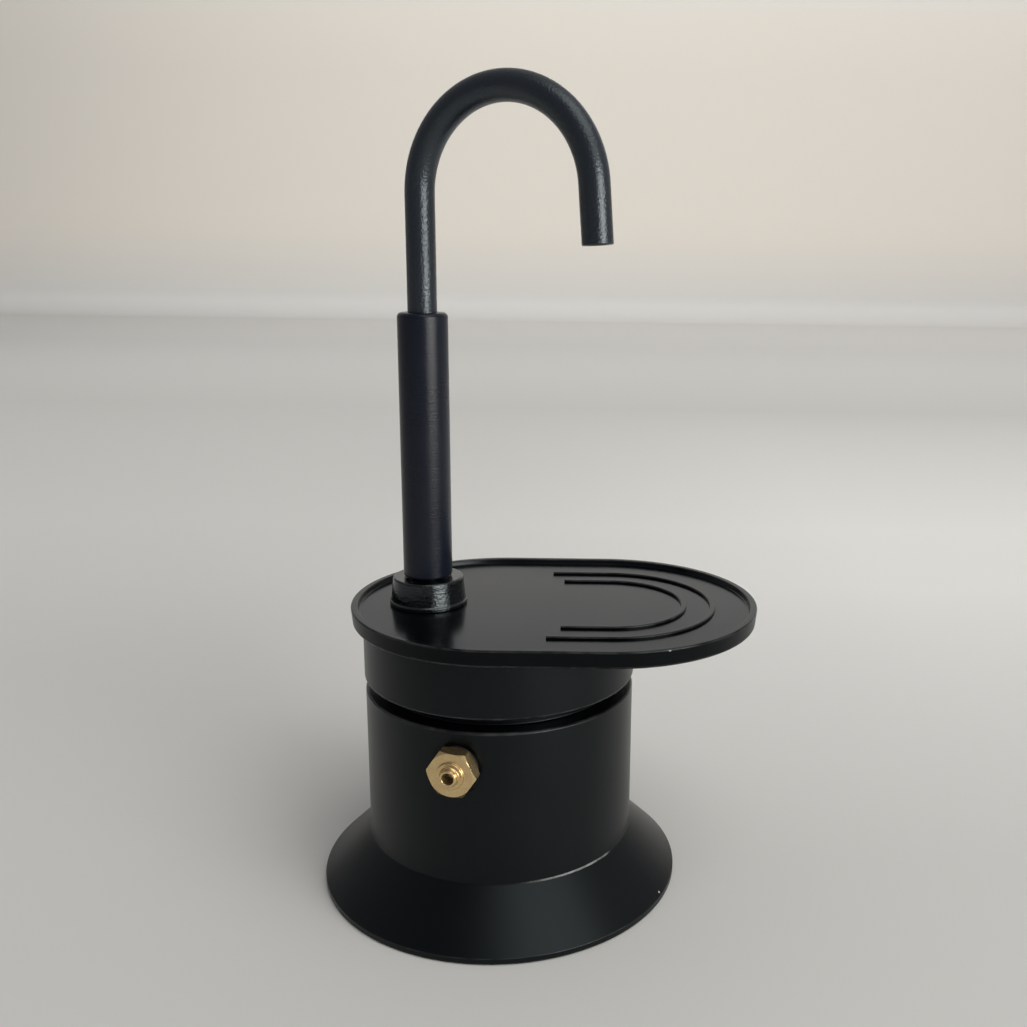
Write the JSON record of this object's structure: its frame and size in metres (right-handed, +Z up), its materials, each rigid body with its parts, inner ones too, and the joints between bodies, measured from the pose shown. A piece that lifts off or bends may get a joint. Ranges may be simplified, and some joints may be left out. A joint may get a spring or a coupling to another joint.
{
  "type": "stovetop espresso maker",
  "caption": "Compact stovetop espresso maker: flared boiler with a brass safety valve, funnel basket, and a screw-on top with a ribbed cup tray and a swivelling bent spout.",
  "frame": {"origin": "on the boiler's axis, on the flat bottom that it stands on", "axes": "+Z up, +X along the tray from the spout's column towards the cup, valve facing about -Y"},
  "size_m": [0.0979, 0.081, 0.1748],
  "materials": {
    "black_aluminium": "satin black coat",
    "black_steel": "glossy black coat",
    "black_grip": "matte",
    "brass": "machined",
    "bare_aluminium": "pressed, satin",
    "bare_steel": "drawn",
    "pale_rubber": "smooth silicone",
    "dark_fibre": "pressed fibre"
  },
  "bodies": {
    "boiler": {"boiler": "black_aluminium", "valve_body": "brass", "valve_washer": "dark_fibre", "valve_nut": "brass", "valve_seat": "brass", "valve_spring": "bare_steel"},
    "valve_plunger": {"valve_plunger": "brass"},
    "basket": {"basket_cup": "bare_aluminium", "basket_screen": "bare_aluminium", "basket_stem": "bare_aluminium"},
    "gasket": {"gasket": "pale_rubber"},
    "filter_plate": {"filter_plate": "bare_aluminium"},
    "top": {"collar": "black_aluminium", "tray": "black_aluminium", "spout_socket": "brass", "socket_washer": "pale_rubber", "spout_seal": "pale_rubber", "gland_nut": "black_steel"},
    "spout": {"tube_ferrule": "bare_steel", "spout_tube": "black_steel", "grip_sleeve": "black_grip"}
  },
  "joints": [
    {"name": "valve_release", "type": "slide", "parent": "boiler", "child": "valve_plunger", "axis": [-0.225, -0.9744, 0], "range_m": [0, 0.0015], "stiffness_N_per_m": 1500, "springref_m": -0.0015, "deforming": ["valve_spring"]},
    {"name": "basket_lift", "type": "slide", "parent": "boiler", "child": "basket", "axis": [0, 0, 1], "range_m": [0, 0.055]},
    {"name": "top_lift", "type": "slide", "parent": "basket", "child": "gasket", "axis": [0, 0, 1], "range_m": [0, 0.03]},
    {"name": "thread_rise", "type": "slide", "parent": "gasket", "child": "filter_plate", "axis": [0, 0, 1], "range_m": [0, 0.006]},
    {"name": "top_unscrew", "type": "hinge", "parent": "filter_plate", "child": "top", "pos_m": [0, 0, 0.0544], "axis": [0, 0, 1], "range_deg": [0, 720]},
    {"name": "spout_swivel", "type": "hinge", "parent": "top", "child": "spout", "pos_m": [-0.0159, 0, 0.0637], "axis": [0, 0, 1], "continuous": true}
  ],
  "couplings": [
    {"joint": "thread_rise", "follows": "top_unscrew", "m_per_rad": 0.00047746}
  ]
}
